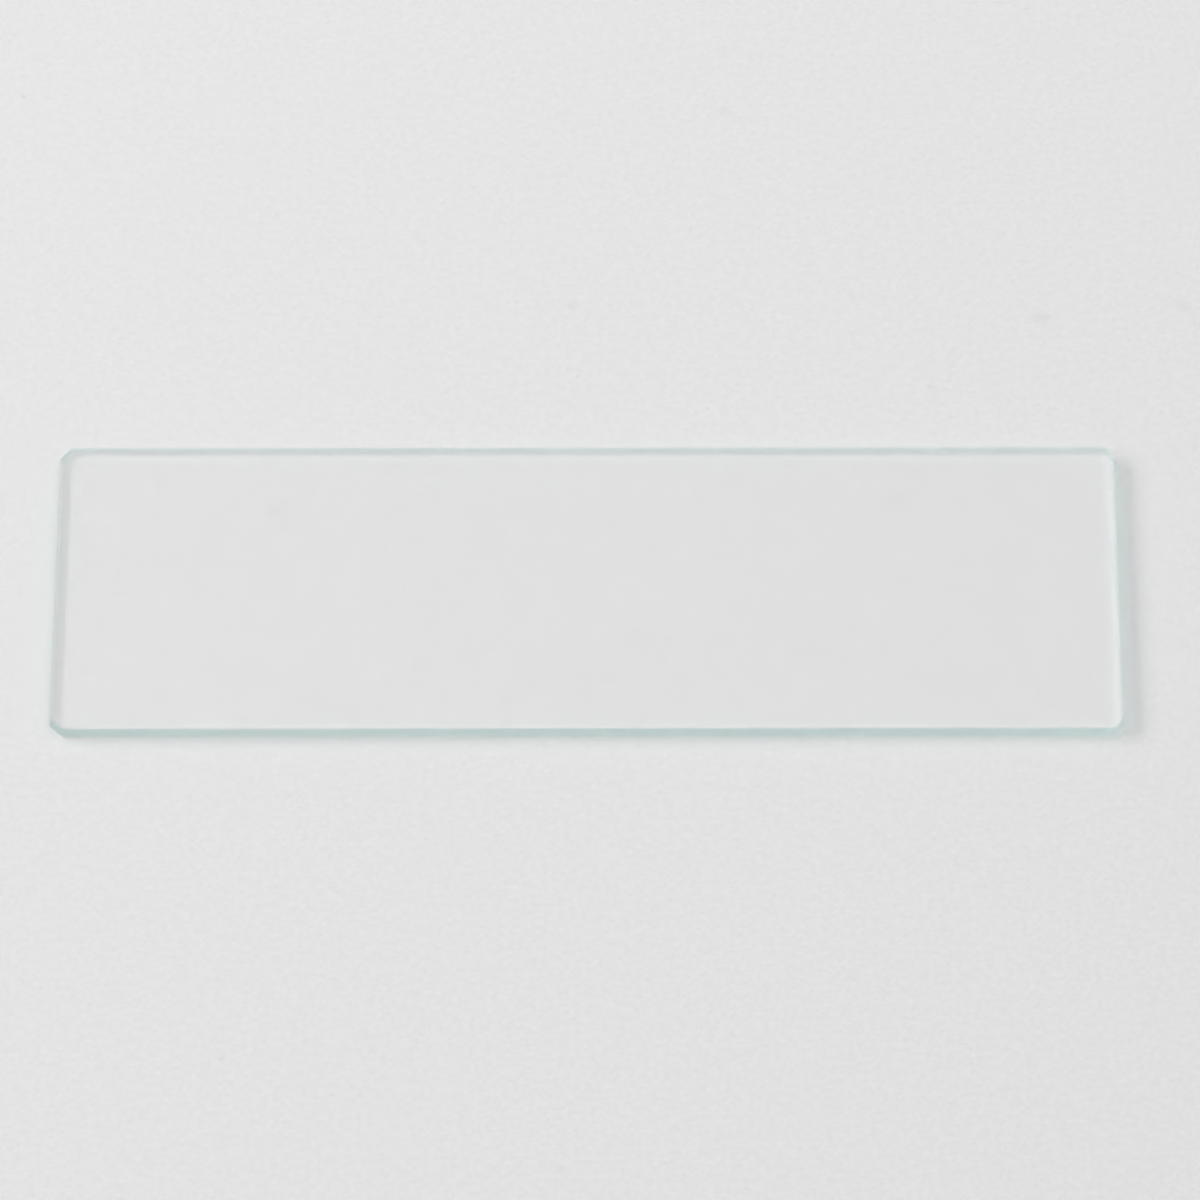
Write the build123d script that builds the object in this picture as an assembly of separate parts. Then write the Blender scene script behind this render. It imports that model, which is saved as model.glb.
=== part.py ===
from build123d import *
import os

# Plain microscope slide: one pane of clear soda-lime glass, lying flat on its underside.
# Millimetres. The origin is the centre of the underside. +X runs along the length,
# +Y across the width towards the back long edge, and +Z up to the specimen face.

# The pane
length = 76.0
width = 26.0
thickness = 1.0

# The long edges and the ends are ground square, then the sharp rims are broken
# by a narrow 45 degree arris above and below.
arris = 0.05

# Each corner is clipped on its own, so no two cuts are quite alike.
# "along" is what the cut takes off the long edge, "across" what it takes off the end.
front_left_clip_along = 1.00
front_left_clip_across = 1.00
front_right_clip_along = 0.65
front_right_clip_across = 0.75
back_right_clip_along = 0.60
back_right_clip_across = 1.00
back_left_clip_along = 0.77
back_left_clip_across = 1.00


def pane_outline():
    """The pane seen from above, anticlockwise from the left end of the front edge."""
    end = length / 2
    side = width / 2
    return Polyline(
        (-end + front_left_clip_along, -side),
        (end - front_right_clip_along, -side),
        (end, -side + front_right_clip_across),
        (end, side - back_right_clip_across),
        (end - back_right_clip_along, side),
        (-end + back_left_clip_along, side),
        (-end, side - back_left_clip_across),
        (-end, -side + front_left_clip_across),
        close=True,
    )


def glass_slide():
    """The pane cut to its outline, with both rims broken all the way round."""
    pane = extrude(make_face(pane_outline()), thickness)
    edges_by_height = pane.edges().group_by(Axis.Z)
    lower_rim = edges_by_height[0]
    upper_rim = edges_by_height[-1]
    return chamfer(lower_rim + upper_rim, arris)


os.makedirs("parts", exist_ok=True)
export_step(glass_slide(), "parts/glass_slide.step")
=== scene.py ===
import math

import bmesh
import bpy
from mathutils import Matrix, Vector


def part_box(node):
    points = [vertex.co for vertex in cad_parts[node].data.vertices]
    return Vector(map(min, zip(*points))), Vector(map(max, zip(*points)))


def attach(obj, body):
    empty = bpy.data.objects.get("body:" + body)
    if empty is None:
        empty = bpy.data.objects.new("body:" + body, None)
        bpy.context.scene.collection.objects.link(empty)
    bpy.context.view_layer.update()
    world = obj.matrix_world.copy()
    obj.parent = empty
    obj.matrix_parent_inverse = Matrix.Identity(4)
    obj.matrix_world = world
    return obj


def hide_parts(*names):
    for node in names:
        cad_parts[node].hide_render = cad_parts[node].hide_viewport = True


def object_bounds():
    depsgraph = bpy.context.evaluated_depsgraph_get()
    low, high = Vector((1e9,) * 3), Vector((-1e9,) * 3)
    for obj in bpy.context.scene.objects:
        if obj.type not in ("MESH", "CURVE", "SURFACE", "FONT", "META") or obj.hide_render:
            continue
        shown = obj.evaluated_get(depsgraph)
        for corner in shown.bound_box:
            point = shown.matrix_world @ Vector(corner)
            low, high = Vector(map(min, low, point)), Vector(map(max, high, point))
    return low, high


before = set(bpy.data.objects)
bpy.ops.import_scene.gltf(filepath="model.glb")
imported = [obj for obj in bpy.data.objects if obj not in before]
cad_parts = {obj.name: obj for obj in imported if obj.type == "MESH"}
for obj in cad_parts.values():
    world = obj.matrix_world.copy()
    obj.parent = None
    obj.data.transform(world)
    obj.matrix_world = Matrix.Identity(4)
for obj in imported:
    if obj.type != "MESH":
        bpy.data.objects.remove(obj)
cad_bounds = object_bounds()

# A plain microscope slide: one pane of clear soda-lime glass lying on pale paper.
# Metres, in the CAD frame: +X along the length, +Y to the back long edge, +Z up.

MM = 0.001
SLACK = 0.001 * MM           # lengths that differ by less than this count as equal
CUT_SLACK = 0.0001 * MM      # a point nearer than this to a cutting plane lies on it
FLAT_NORMAL = 0.99           # a face whose normal is this near to upright, up or down, is polished

# The pane. Its overall size is the CAD box; what follows is its edge work.
ARRIS = 0.05 * MM            # the 45 degree facet that breaks each sharp rim
GROUND_BORDER = 0.35 * MM    # the strip of polished face beside the rim, where grinding marks stray in
RIM_WANDER = 0.004 * MM      # the furthest that the ground rim strays from a straight line
RIM_WANDER_LENGTH = 1.1 * MM  # the size of its waves
RIM_WANDER_OCTAVES = 2
RIM_REACH = 1.5 * ARRIS      # a rim point nearer than this to a side belongs to that side
SMOOTH_BELOW = 30.0          # degrees between faces up to which they are shaded as one

# How the lines along the rim are divided, by length: (longer than, shorter than, cuts).
# The clips come first, then the ends, then the long edges.
RIM_CUTS = (
    (0.5 * MM, 2 * MM, 2),
    (20 * MM, 30 * MM, 30),
    (50 * MM, 80 * MM, 94),
)

# Corner clips: (side in X, side in Y, taken off the long edge, taken off the end)
CORNER_CLIPS = (
    (-1, -1, 1.00 * MM, 1.00 * MM),
    (+1, -1, 0.65 * MM, 0.75 * MM),
    (+1, +1, 0.60 * MM, 1.00 * MM),
    (-1, +1, 0.77 * MM, 1.00 * MM),
)

# How far each point of the mesh is into the ground edge
GROUND_ATTRIBUTE = "ground_edge"
CLEAR = 0.0                  # on the clear face
RIM = 1.0                    # where a polished face meets its arris
SIDE = 2.0                   # where an arris meets the side


# ---------------------------------------------------------------- modelling

def edit(obj):
    """Opens obj alone for editing, with nothing in it selected."""
    bpy.ops.object.select_all(action="DESELECT")
    obj.select_set(True)
    bpy.context.view_layer.objects.active = obj
    bpy.ops.object.mode_set(mode="EDIT")
    bpy.ops.mesh.select_mode(type="VERT")
    bpy.ops.mesh.select_all(action="DESELECT")


def select_only(obj, kind, wanted):
    """Selects the verts, edges or faces of the open mesh that `wanted` says yes to."""
    bpy.ops.mesh.select_all(action="DESELECT")
    bpy.ops.mesh.select_mode(type={"verts": "VERT", "edges": "EDGE", "faces": "FACE"}[kind])
    mesh = bmesh.from_edit_mesh(obj.data)
    for element in getattr(mesh, kind):
        if wanted(element):
            element.select_set(True)
    mesh.select_flush_mode()
    bmesh.update_edit_mesh(obj.data)


def close_to(a, b):
    return abs(a - b) < SLACK


def block(name, low, high):
    """A plain block between two corners, the stock that the pane is cut from."""
    bpy.ops.object.select_all(action="DESELECT")
    bpy.ops.mesh.primitive_cube_add(size=1, location=(low + high) / 2)
    obj = bpy.context.object
    obj.name = name
    obj.data.name = name
    obj.scale = high - low
    bpy.ops.object.transform_apply(location=True, rotation=False, scale=True)
    return obj


def clip_corners(low, high):
    """Cuts each corner of the open block off upright, through a point on each of its two sides."""
    for side_x, side_y, along, across in CORNER_CLIPS:
        corner_x = high.x if side_x > 0 else low.x
        corner_y = high.y if side_y > 0 else low.y
        bpy.ops.mesh.select_all(action="SELECT")
        bpy.ops.mesh.bisect(
            plane_co=(corner_x - side_x * along, corner_y, 0),
            plane_no=Vector((side_x * across, side_y * along, 0)).normalized(),
            use_fill=True,
            clear_outer=True,
            threshold=CUT_SLACK,
        )


def level(edge):
    a, b = (vert.co for vert in edge.verts)
    return close_to(a.z, b.z)


def faces_up_or_down(face):
    return abs(face.normal.z) > FLAT_NORMAL


def is_sharp_rim(edge):
    """Whether a polished face meets a side along this edge."""
    return level(edge) and not all(faces_up_or_down(face) for face in edge.link_faces)


def cut_rim_evenly(pane):
    """Divides the lines that run along the rim into short steps, so that they can wander."""
    def runs_along_rim(edge):
        crosses_border = all(
            faces_up_or_down(face) and len(face.verts) == 4 for face in edge.link_faces
        )
        return level(edge) and not crosses_border

    for shortest, longest, cuts in RIM_CUTS:
        select_only(
            pane,
            "edges",
            lambda edge: runs_along_rim(edge) and shortest < edge.calc_length() < longest,
        )
        bpy.ops.mesh.subdivide(number_cuts=cuts)


def mark_ground(pane, low, high):
    """Writes how far each point is into the ground edge."""
    mesh = bmesh.from_edit_mesh(pane.data)
    ground = mesh.verts.layers.float.new(GROUND_ATTRIBUTE)
    for vert in mesh.verts:
        if not (close_to(vert.co.z, low.z) or close_to(vert.co.z, high.z)):
            vert[ground] = SIDE
        elif all(faces_up_or_down(face) for face in vert.link_faces):
            vert[ground] = CLEAR
        else:
            vert[ground] = RIM
    bmesh.update_edit_mesh(pane.data)


def wander_rim(pane, low, high):
    """Lets the line where a polished face meets its arris wander, sideways, so that faces stay flat."""
    waves = bpy.data.textures.new("rim_wander", "CLOUDS")
    waves.noise_scale = RIM_WANDER_LENGTH
    waves.noise_depth = RIM_WANDER_OCTAVES
    values = pane.data.attributes[GROUND_ATTRIBUTE].data
    rim = [v for v in pane.data.vertices if close_to(values[v.index].value, RIM)]
    long_edges = [v.index for v in rim if min(v.co.y - low.y, high.y - v.co.y) < RIM_REACH]
    ends = [v.index for v in rim if min(v.co.x - low.x, high.x - v.co.x) < RIM_REACH]
    for name, axis, members in (("long_rims", "Y", long_edges), ("end_rims", "X", ends)):
        group = pane.vertex_groups.new(name=name)
        group.add(members, 1.0, "REPLACE")
        wander = pane.modifiers.new(name, "DISPLACE")
        wander.texture = waves
        wander.texture_coords = "LOCAL"
        wander.vertex_group = name
        wander.direction = axis
        wander.strength = 2 * RIM_WANDER  # the waves run from half of it inwards to half outwards
        bpy.ops.object.modifier_apply(modifier=name)


def model_pane(low, high):
    """The pane: a block cut at its corners, with a border set in on each face and its rims broken."""
    pane = block("slide_pane", low, high)
    edit(pane)
    clip_corners(low, high)

    select_only(pane, "faces", faces_up_or_down)
    bpy.ops.mesh.inset(thickness=ARRIS + GROUND_BORDER, use_individual=True)

    select_only(pane, "edges", is_sharp_rim)
    bpy.ops.mesh.bevel(offset=ARRIS, segments=1, affect="EDGES")

    cut_rim_evenly(pane)
    mark_ground(pane, low, high)
    bpy.ops.mesh.select_all(action="SELECT")
    bpy.ops.mesh.normals_make_consistent(inside=False)
    bpy.ops.object.mode_set(mode="OBJECT")

    wander_rim(pane, low, high)
    bpy.ops.object.shade_smooth_by_angle(angle=math.radians(SMOOTH_BELOW))
    return pane


# ---------------------------------------------------------------- materials

# Glass. A noise's scale is in waves to the metre.
GLASS_IOR = 1.52
TINT = (0.28, 0.71, 0.66, 1)  # absorbed per metre of path: the density times (1 - this)
TINT_DENSITY = 11.5
STRAY_NOISE = {"scale": 2200, "detail": 1.0, "roughness": 0.6}
STRAY = 0.45                 # the most that the noise adds to a point's place in the ground edge
GROUND_FROM = 1.08           # the place at which the grinding begins to show
GROUND_TO = 1.16             # the place from which all is ground
GRIT_NOISE = {"scale": 14000, "detail": 0.0}
GRIT_RANGE = (0.3, 0.7)      # the middle part of the noise, which most of it falls in
GROUND_ROUGHNESS = (0.57, 0.71)  # least and most, from grain to grain
GRIT_BUMP = 0.3              # the strength of the relief
GRIT_DEPTH = 0.01 * MM       # the height that the noise's whole range, 0 to 1, stands for
UPPER_FACE = (0.7 * MM, 0.8 * MM)  # dust lies on what is higher than this
CLEAN_GLASS = (1, 1, 1, 1)

# Dust: how many cells to the metre, and the radius of the largest speck
DUST_FREE_SHARE = 0.78       # the share of cells that hold no speck
GLASS_DUST = (160, 0.25 * MM)
PAPER_DUST = (120, 0.3 * MM)
SMUDGES = (90, 1.1 * MM)
SMUDGE_STRENGTH = 0.2
DUST_ON_GLASS = (0.6, 0.6, 0.6, 1)
DUST_ON_PAPER = (0.76, 0.76, 0.76, 1)
SMUDGED_PAPER = (0.6, 0.6, 0.6, 1)
NO_SPECK = 1e-6              # in place of a radius of 0, which can't be divided by

# Paper: the hollows and the heights of its tooth, in painted shade and in painted light
TOOTH_NOISE = {"scale": 2600, "detail": 2.0, "roughness": 0.65}
PAPER_PAINTED_SHADE_SIDE = ((0.751, 0.747, 0.746, 1), (0.921, 0.917, 0.916, 1))
PAPER_PAINTED_LIGHT_SIDE = ((0.817, 0.813, 0.812, 1), (0.987, 0.983, 0.982, 1))
PAINTED_LIGHT_TOWARDS = 147.0  # degrees anticlockwise from +X, seen from above, towards which the painted light on the paper grows
PAINTED_SHADE_REACH = 60 * MM  # from the middle to the strongest painted light and the strongest painted shade
PAPER_ROUGHNESS = 0.95
PAPER_SPECULAR = 0.2


def direction(bearing, height):
    """The unit vector at a bearing, anticlockwise from +X, and a height above the floor, in degrees."""
    bearing, height = math.radians(bearing), math.radians(height)
    return Vector((
        math.cos(bearing) * math.cos(height),
        math.sin(bearing) * math.cos(height),
        math.sin(height),
    ))


def new_material(name):
    material = bpy.data.materials.new(name)
    material.use_nodes = True
    material.node_tree.nodes.clear()
    return material, material.node_tree


def add(tree, kind, **settings):
    """A new node of this kind, with its own properties set by name."""
    node = tree.nodes.new(kind)
    for name, value in settings.items():
        setattr(node, name, value)
    return node


def fill(node, **sockets):
    """Sets input sockets by name, with _ for a space."""
    for name, value in sockets.items():
        node.inputs[name.replace("_", " ")].default_value = value
    return node


def math_node(tree, operation, a, b=None, clamp=False):
    node = add(tree, "ShaderNodeMath", operation=operation, use_clamp=clamp)
    for socket, value in zip(node.inputs, (a, b)):
        if value is None:
            continue
        if isinstance(value, (int, float)):
            socket.default_value = value
        else:
            tree.links.new(value, socket)
    return node.outputs[0]


def ramp(tree, value, low, high, to_low=0.0, to_high=1.0, smooth=True):
    """Carries a value between low and high to between to_low and to_high, and holds it at the ends."""
    node = add(tree, "ShaderNodeMapRange", interpolation_type="SMOOTHSTEP" if smooth else "LINEAR")
    tree.links.new(value, node.inputs["Value"])
    fill(node, From_Min=low, From_Max=high, To_Min=to_low, To_Max=to_high)
    return node.outputs["Result"]


def noise(tree, coordinates, scale, detail=2.0, roughness=0.5):
    node = add(tree, "ShaderNodeTexNoise")
    fill(node, Scale=scale, Detail=detail, Roughness=roughness)
    tree.links.new(coordinates, node.inputs["Vector"])
    return node.outputs["Fac"]


def dust_group():
    """Stray specks scattered flat over XY: 1 in the middle of a speck and 0 between them."""
    group = bpy.data.node_groups.new("dust", "ShaderNodeTree")
    group.interface.new_socket("Where", in_out="INPUT", socket_type="NodeSocketVector")
    group.interface.new_socket("Cells per Metre", in_out="INPUT", socket_type="NodeSocketFloat")
    group.interface.new_socket("Largest Speck", in_out="INPUT", socket_type="NodeSocketFloat")
    group.interface.new_socket("Dust", in_out="OUTPUT", socket_type="NodeSocketFloat")
    given = add(group, "NodeGroupInput")
    cells = add(group, "ShaderNodeTexVoronoi", voronoi_dimensions="2D")
    group.links.new(given.outputs["Where"], cells.inputs["Vector"])
    group.links.new(given.outputs["Cells per Metre"], cells.inputs["Scale"])

    # Each cell draws a number: most get no speck, and the rest one of their own size
    draw = add(group, "ShaderNodeSeparateColor")
    group.links.new(cells.outputs["Color"], draw.inputs["Color"])
    size = ramp(group, draw.outputs["Red"], DUST_FREE_SHARE, 1.0, smooth=False)
    radius = math_node(group, "MULTIPLY", size, given.outputs["Largest Speck"])
    reach = math_node(group, "MULTIPLY", radius, given.outputs["Cells per Metre"])
    nearness = math_node(group, "SUBTRACT", reach, cells.outputs["Distance"])
    divisor = math_node(group, "MAXIMUM", reach, NO_SPECK)
    speck = math_node(group, "DIVIDE", nearness, divisor, clamp=True)
    result = add(group, "NodeGroupOutput")
    group.links.new(speck, result.inputs["Dust"])
    return group


def dust(tree, where, cells, largest):
    """Places the dust group in a material, with its own number of cells and largest speck."""
    node = add(tree, "ShaderNodeGroup", node_tree=DUST)
    fill(node, Cells_per_Metre=cells, Largest_Speck=largest)
    tree.links.new(where, node.inputs["Where"])
    return node.outputs["Dust"]


def dot_product(tree, vector, fixed):
    node = add(tree, "ShaderNodeVectorMath", operation="DOT_PRODUCT")
    tree.links.new(vector, node.inputs[0])
    node.inputs[1].default_value = fixed
    return node.outputs["Value"]


def mix_colour(tree, factor, a, b):
    """The colour a where the factor is 0 and b where it is 1; each is a colour or a socket."""
    node = add(tree, "ShaderNodeMix", data_type="RGBA")
    tree.links.new(factor, node.inputs["Factor"])
    for name, value in (("A", a), ("B", b)):
        if isinstance(value, tuple):
            node.inputs[name].default_value = value
        else:
            tree.links.new(value, node.inputs[name])
    return node.outputs["Result"]


def slide_glass():
    """Clear soda-lime glass: polished faces, ground edges, a green tint that shows along its length."""
    material, tree = new_material("slide_glass")
    where = add(tree, "ShaderNodeTexCoord").outputs["Object"]
    depth = add(tree, "ShaderNodeAttribute", attribute_name=GROUND_ATTRIBUTE).outputs["Fac"]

    # The grinding strays on to the face by an uneven amount
    stray = math_node(tree, "MULTIPLY", noise(tree, where, **STRAY_NOISE), STRAY)
    ground = ramp(tree, math_node(tree, "ADD", depth, stray), GROUND_FROM, GROUND_TO)

    grit = noise(tree, where, **GRIT_NOISE)
    grains = ramp(tree, grit, *GRIT_RANGE, *GROUND_ROUGHNESS)
    roughness = math_node(tree, "MULTIPLY", grains, ground)

    bump = fill(add(tree, "ShaderNodeBump"), Strength=GRIT_BUMP, Distance=GRIT_DEPTH)
    tree.links.new(math_node(tree, "MULTIPLY", grit, ground), bump.inputs["Height"])

    # Dust has settled on the upper face only
    height = add(tree, "ShaderNodeSeparateXYZ")
    tree.links.new(where, height.inputs["Vector"])
    on_top = ramp(tree, height.outputs["Z"], *UPPER_FACE)
    settled = math_node(tree, "MULTIPLY", dust(tree, where, *GLASS_DUST), on_top)
    colour = mix_colour(tree, settled, CLEAN_GLASS, DUST_ON_GLASS)

    glass = add(tree, "ShaderNodeBsdfPrincipled")
    fill(glass, Metallic=0.0, IOR=GLASS_IOR, Transmission_Weight=1.0)
    tree.links.new(colour, glass.inputs["Base Color"])
    tree.links.new(roughness, glass.inputs["Roughness"])
    tree.links.new(bump.outputs["Normal"], glass.inputs["Normal"])

    tint = fill(add(tree, "ShaderNodeVolumeAbsorption"), Color=TINT, Density=TINT_DENSITY)
    output = add(tree, "ShaderNodeOutputMaterial")
    tree.links.new(glass.outputs["BSDF"], output.inputs["Surface"])
    tree.links.new(tint.outputs["Volume"], output.inputs["Volume"])
    return material


def paper():
    """Pale paper with a fine tooth, faint smudges and a few specks, and painted light: a shade lighter
    to the back left and darker to the front right.
    """
    material, tree = new_material("paper")
    where = add(tree, "ShaderNodeTexCoord").outputs["Object"]
    tooth = noise(tree, where, **TOOTH_NOISE)
    tooth_in_painted_shade = mix_colour(tree, tooth, *PAPER_PAINTED_SHADE_SIDE)
    tooth_in_painted_light = mix_colour(tree, tooth, *PAPER_PAINTED_LIGHT_SIDE)
    # Painted light and shade: the paper's colour is lighter to the back left, where the light comes
    # from, and darker to the front right
    across = dot_product(tree, where, direction(PAINTED_LIGHT_TOWARDS, 0))
    painted_light_fade = ramp(tree, across, -PAINTED_SHADE_REACH, PAINTED_SHADE_REACH, smooth=False)
    paper_with_painted_light = mix_colour(tree, painted_light_fade, tooth_in_painted_shade, tooth_in_painted_light)

    smudge = math_node(tree, "MULTIPLY", dust(tree, where, *SMUDGES), SMUDGE_STRENGTH)
    smudged = mix_colour(tree, smudge, paper_with_painted_light, SMUDGED_PAPER)
    colour = mix_colour(tree, dust(tree, where, *PAPER_DUST), smudged, DUST_ON_PAPER)

    surface = add(tree, "ShaderNodeBsdfPrincipled")
    fill(surface, Roughness=PAPER_ROUGHNESS, Specular_IOR_Level=PAPER_SPECULAR)
    tree.links.new(colour, surface.inputs["Base Color"])
    output = add(tree, "ShaderNodeOutputMaterial")
    tree.links.new(surface.outputs["BSDF"], output.inputs["Surface"])
    return material


# ---------------------------------------------------------------- studio

FLOOR_DROP = 0.055 * MM      # the air film between glass and paper
FLOOR_SIZE = 4.0             # metres

# Levels are strengths of light, where a white room all round would be 1
ROOM_LEVEL = 0.4075          # the pale room all round
PANEL_LEVEL = 0.895          # what the soft panel overhead adds
PANEL_CORE = 1.3             # degrees from straight up out to which the panel is at its brightest
PANEL_REACH = 48.5           # degrees from straight up at which it has faded out
KEY_LEVEL = 3.70             # what the soft box on the left adds
KEY_BEARING = 173.5          # degrees anticlockwise from +X, seen from above
KEY_HEIGHT = 30.6            # degrees above the floor
KEY_HALF_WIDTH = 30.0        # degrees
KEY_HALF_HEIGHT = 10.5       # degrees
KEY_EDGE = 2.3               # degrees to each side of its outline over which the box fades out
LEAST_FACING = 0.001         # keeps directions that face away from the box from a divisor of 0 or less
LIGHT_MAP_SIZE = 512         # enough for lights as soft as these

CAMERA_AIM = Vector((0.957, -1.253, 1.0)) * MM
CAMERA_DISTANCE = 0.7506     # metres
CAMERA_BEARING = -89.766     # degrees anticlockwise from +X, seen from above
CAMERA_HEIGHT = 50.68        # degrees above the floor
CAMERA_ROLL = -0.248         # degrees
CAMERA_LENS = 315.4          # mm
CAMERA_SENSOR = 36           # mm
CAMERA_SEES_FROM = 0.01      # metres
CAMERA_SEES_TO = 10          # metres

LIGHT_BOUNCES = 96           # room for light to run along inside the pane


def lay_floor():
    """The sheet of paper under the pane, as a plain floor."""
    bpy.ops.object.select_all(action="DESELECT")
    height = cad_bounds[0].z - FLOOR_DROP
    bpy.ops.mesh.primitive_plane_add(size=FLOOR_SIZE, location=(0, 0, height))
    floor = bpy.context.object
    floor.name = "floor"
    bpy.ops.object.transform_apply(location=True, rotation=False, scale=False)
    floor.data.materials.append(paper())


def light_room():
    """A pale room with a soft panel overhead and a soft box low on the left, all of it in the world."""
    world = bpy.data.worlds.new("studio")
    world.use_nodes = True
    tree = world.node_tree
    tree.nodes.clear()
    ray = add(tree, "ShaderNodeTexCoord").outputs["Generated"]

    towards = direction(KEY_BEARING, KEY_HEIGHT)
    sideways = direction(KEY_BEARING + 90, 0)
    upwards = towards.cross(sideways)

    def window(axis, half_angle):
        """1 inside the box and 0 outside, along one of its axes, with a soft edge."""
        across = dot_product(tree, ray, axis)
        slope = math_node(tree, "ABSOLUTE", math_node(tree, "DIVIDE", across, facing))
        inner = math.tan(math.radians(half_angle - KEY_EDGE))
        outer = math.tan(math.radians(half_angle + KEY_EDGE))
        return ramp(tree, slope, inner, outer, 1.0, 0.0)

    facing = math_node(tree, "MAXIMUM", dot_product(tree, ray, towards), LEAST_FACING)
    box = math_node(
        tree,
        "MULTIPLY",
        window(sideways, KEY_HALF_WIDTH),
        window(upwards, KEY_HALF_HEIGHT),
    )
    panel = ramp(
        tree,
        dot_product(tree, ray, (0, 0, 1)),
        math.cos(math.radians(PANEL_REACH)),
        math.cos(math.radians(PANEL_CORE)),
        ROOM_LEVEL,
        ROOM_LEVEL + PANEL_LEVEL,
    )
    strength = math_node(tree, "ADD", math_node(tree, "MULTIPLY", box, KEY_LEVEL), panel)
    background = add(tree, "ShaderNodeBackground")
    background.inputs["Color"].default_value = (1, 1, 1, 1)
    tree.links.new(strength, background.inputs["Strength"])
    output = add(tree, "ShaderNodeOutputWorld")
    tree.links.new(background.outputs["Background"], output.inputs["Surface"])
    world.cycles.sampling_method = "MANUAL"
    world.cycles.sample_map_resolution = LIGHT_MAP_SIZE
    bpy.context.scene.world = world


def set_camera():
    """A long lens from the front, well above the floor."""
    data = bpy.data.cameras.new("camera")
    data.sensor_width = CAMERA_SENSOR
    data.lens = CAMERA_LENS
    data.clip_start = CAMERA_SEES_FROM
    data.clip_end = CAMERA_SEES_TO
    camera = bpy.data.objects.new("camera", data)
    bpy.context.scene.collection.objects.link(camera)
    back = direction(CAMERA_BEARING, CAMERA_HEIGHT)
    camera.location = CAMERA_AIM + back * CAMERA_DISTANCE
    upright = back.to_track_quat("Z", "Y").to_matrix()
    roll = Matrix.Rotation(math.radians(CAMERA_ROLL), 3, "Z")
    camera.rotation_euler = (upright @ roll).to_euler()
    bpy.context.scene.camera = camera


# ---------------------------------------------------------------- putting it together

DUST = dust_group()

slide = model_pane(*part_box("glass_slide"))
slide.data.materials.clear()
slide.data.materials.append(slide_glass())
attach(slide, "root")
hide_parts("glass_slide")

lay_floor()
light_room()
set_camera()

scene = bpy.context.scene
scene.view_settings.view_transform = "Standard"
scene.cycles.blur_glossy = 0
# With more passes to go by, the denoiser leaves streaks along the back edge
scene.cycles.denoising_input_passes = "RGB"
scene.cycles.max_bounces = LIGHT_BOUNCES
scene.cycles.transmission_bounces = LIGHT_BOUNCES
scene.cycles.glossy_bounces = LIGHT_BOUNCES

bpy.context.view_layer.update()
